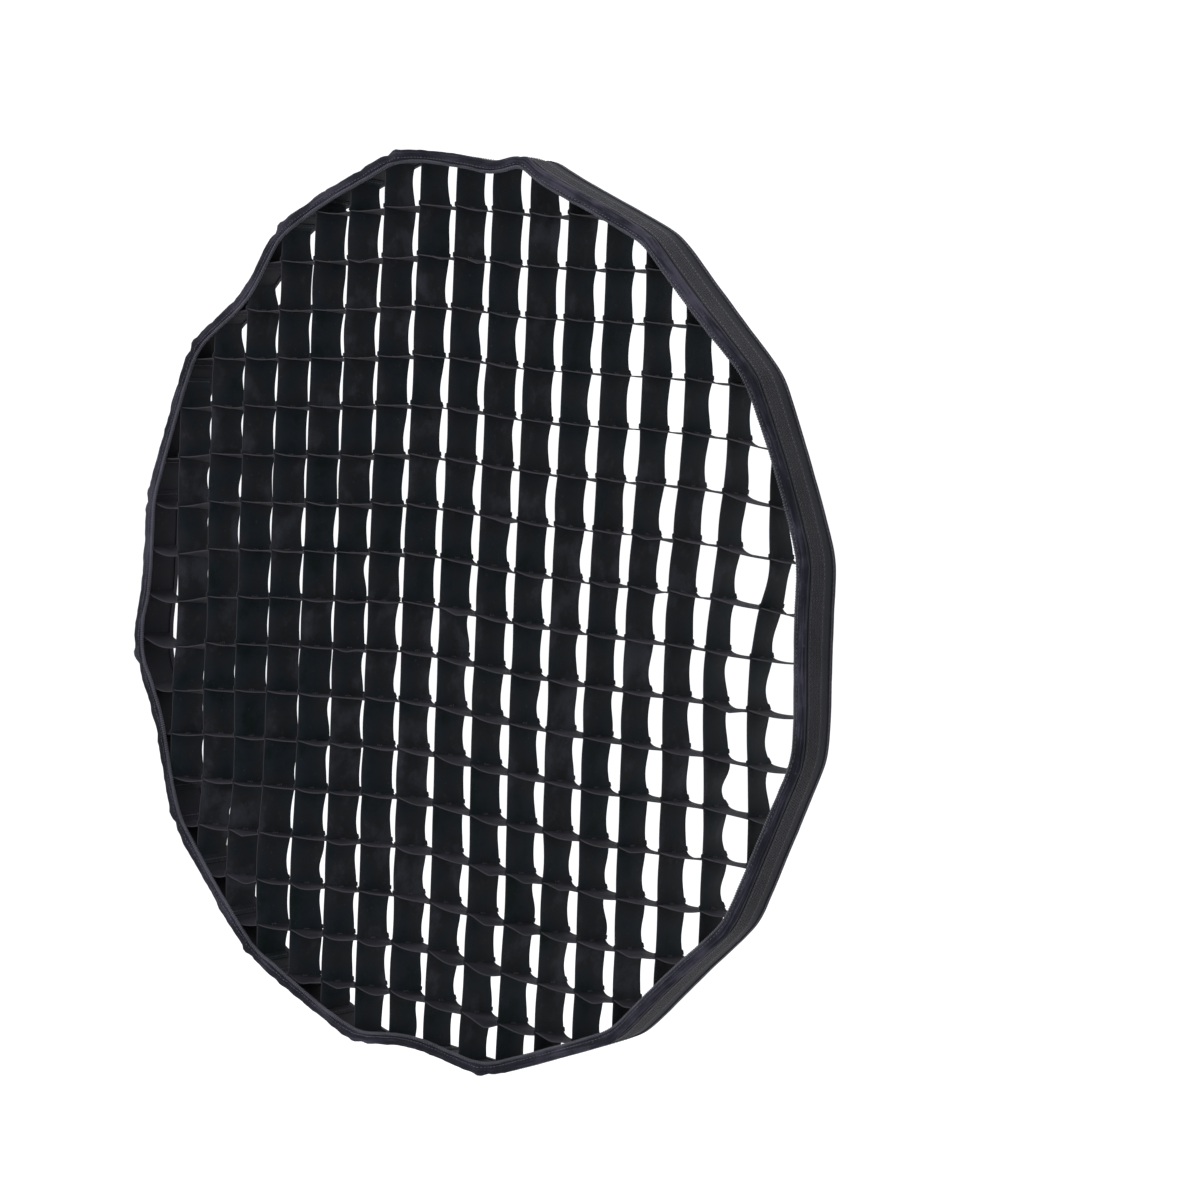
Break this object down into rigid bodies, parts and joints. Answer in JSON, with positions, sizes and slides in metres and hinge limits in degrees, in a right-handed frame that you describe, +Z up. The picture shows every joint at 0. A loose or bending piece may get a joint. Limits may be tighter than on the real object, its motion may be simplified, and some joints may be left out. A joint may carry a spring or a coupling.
{
  "type": "softbox honeycomb grid",
  "caption": "Sixteen-sided cloth grid of slotted strips in square cells, with a hook-tape border, that narrows the light of a softbox.",
  "frame": {"origin": "centre of the grid, halfway through the depth of the strips, where the softbox's rim centres it", "axes": "+X to the right seen from the front, +Y from the front to the rear (towards the lamp), +Z up"},
  "size_m": [0.9, 0.052, 0.9],
  "materials": {
    "strip_cloth": "matte coated nylon, very dark charcoal, fine plain weave",
    "border_cloth": "matte woven nylon, black with a navy cast",
    "hem_cloth": "soft brushed nylon, rolled, navy black",
    "piping": "cloth-covered cord, dark grey with a soft sheen",
    "binding_tape": "ribbed woven tape, black",
    "hook_tape": "black nylon hook tape, satin hooks",
    "thread": "black polyester thread, slight sheen"
  },
  "bodies": {
    "root": {"border_band": "border_cloth", "cross_end_stitches": "thread", "cross_strip_01": "strip_cloth", "cross_strip_02": "strip_cloth", "cross_strip_03": "strip_cloth", "cross_strip_04": "strip_cloth", "cross_strip_05": "strip_cloth", "cross_strip_06": "strip_cloth", "cross_strip_07": "strip_cloth", "cross_strip_08": "strip_cloth", "cross_strip_09": "strip_cloth", "cross_strip_10": "strip_cloth", "cross_strip_11": "strip_cloth", "cross_strip_12": "strip_cloth", "cross_strip_13": "strip_cloth", "cross_strip_14": "strip_cloth", "cross_strip_15": "strip_cloth", "cross_strip_16": "strip_cloth", "cross_strip_17": "strip_cloth", "crossing_tacks": "thread", "front_hem": "hem_cloth", "hook_tape": "hook_tape", "piping": "piping", "rear_binding": "binding_tape", "tape_stitches": "thread", "upright_end_stitches": "thread", "upright_strip_01": "strip_cloth", "upright_strip_02": "strip_cloth", "upright_strip_03": "strip_cloth", "upright_strip_04": "strip_cloth", "upright_strip_05": "strip_cloth", "upright_strip_06": "strip_cloth", "upright_strip_07": "strip_cloth", "upright_strip_08": "strip_cloth", "upright_strip_09": "strip_cloth", "upright_strip_10": "strip_cloth", "upright_strip_11": "strip_cloth", "upright_strip_12": "strip_cloth", "upright_strip_13": "strip_cloth", "upright_strip_14": "strip_cloth", "upright_strip_15": "strip_cloth", "upright_strip_16": "strip_cloth", "upright_strip_17": "strip_cloth"}
  },
  "joints": []
}
